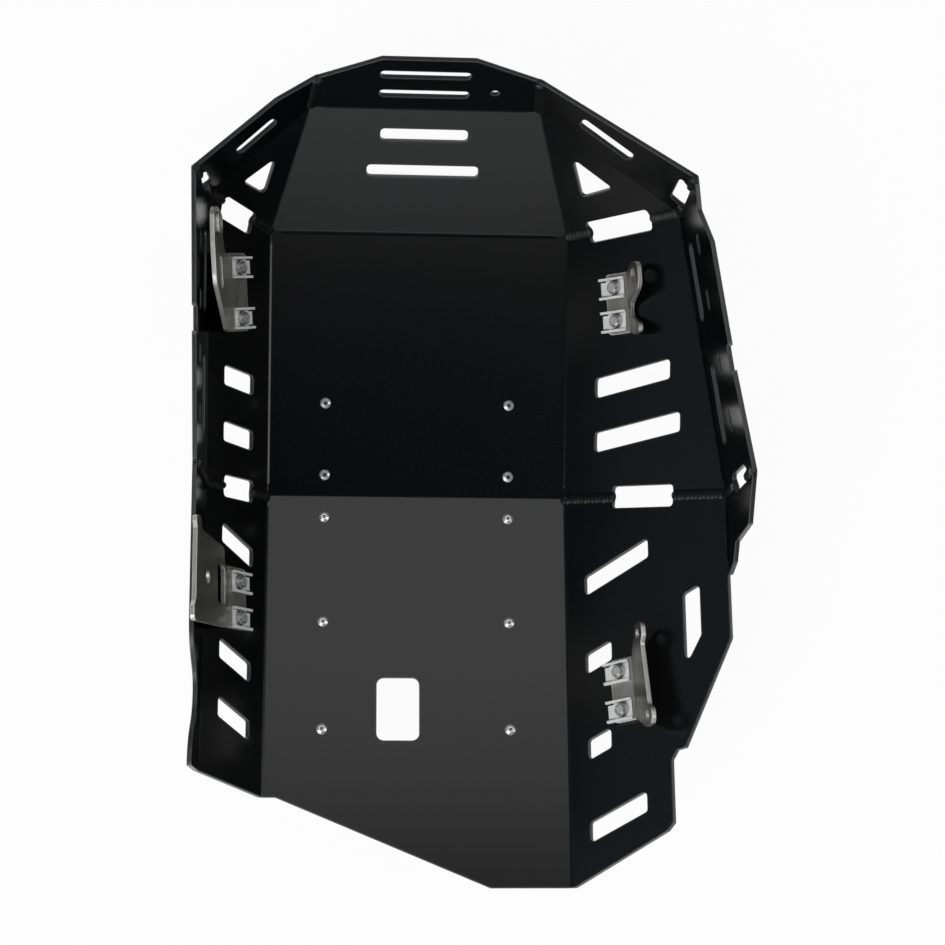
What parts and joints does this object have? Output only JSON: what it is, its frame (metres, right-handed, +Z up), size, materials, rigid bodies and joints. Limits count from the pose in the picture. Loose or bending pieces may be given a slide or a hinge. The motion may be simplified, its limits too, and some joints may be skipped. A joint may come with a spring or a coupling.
{
  "type": "engine guard",
  "caption": "Motorcycle engine guard: a dished skid plate of folded, welded black sheet with slots and windows, bolted-on steel brackets with drilled tabs, and skid strips underneath.",
  "frame": {"origin": "under the middle of the guard's bounding box, on the plane that the front skid strips stand on", "axes": "+X to the motorcycle's right, +Y forward towards the nose lip, +Z up into the open dish"},
  "size_m": [0.3608, 0.5442, 0.1697],
  "materials": {
    "powder_coat": "satin black powder coat on aluminium sheet",
    "stainless": "brushed stainless sheet",
    "zinc": "bright zinc plate",
    "stainless_screw": "plain stainless",
    "black_plastic": "matte polyethylene"
  },
  "bodies": {
    "root": {"guard_shell": "powder_coat", "front_left_bracket": "stainless", "front_left_clips": "zinc", "front_left_nuts": "zinc", "front_left_bolts": "stainless_screw", "front_left_washers": "stainless_screw", "front_right_bracket": "stainless", "front_right_clips": "zinc", "front_right_nuts": "zinc", "front_right_bolts": "stainless_screw", "front_right_washers": "stainless_screw", "rear_left_bracket": "stainless", "rear_left_clips": "zinc", "rear_left_nuts": "zinc", "rear_left_bolts": "stainless_screw", "rear_left_washers": "stainless_screw", "rear_right_bracket": "stainless", "rear_right_clips": "zinc", "rear_right_nuts": "zinc", "rear_right_bolts": "stainless_screw", "rear_right_washers": "stainless_screw", "front_left_spacer": "stainless", "front_left_skid_strip": "black_plastic", "front_left_strip_screws": "stainless_screw", "front_right_skid_strip": "black_plastic", "front_right_strip_screws": "stainless_screw", "rear_left_skid_strip": "black_plastic", "rear_left_strip_screws": "stainless_screw", "rear_right_skid_strip": "black_plastic", "rear_right_strip_screws": "stainless_screw"}
  },
  "joints": []
}
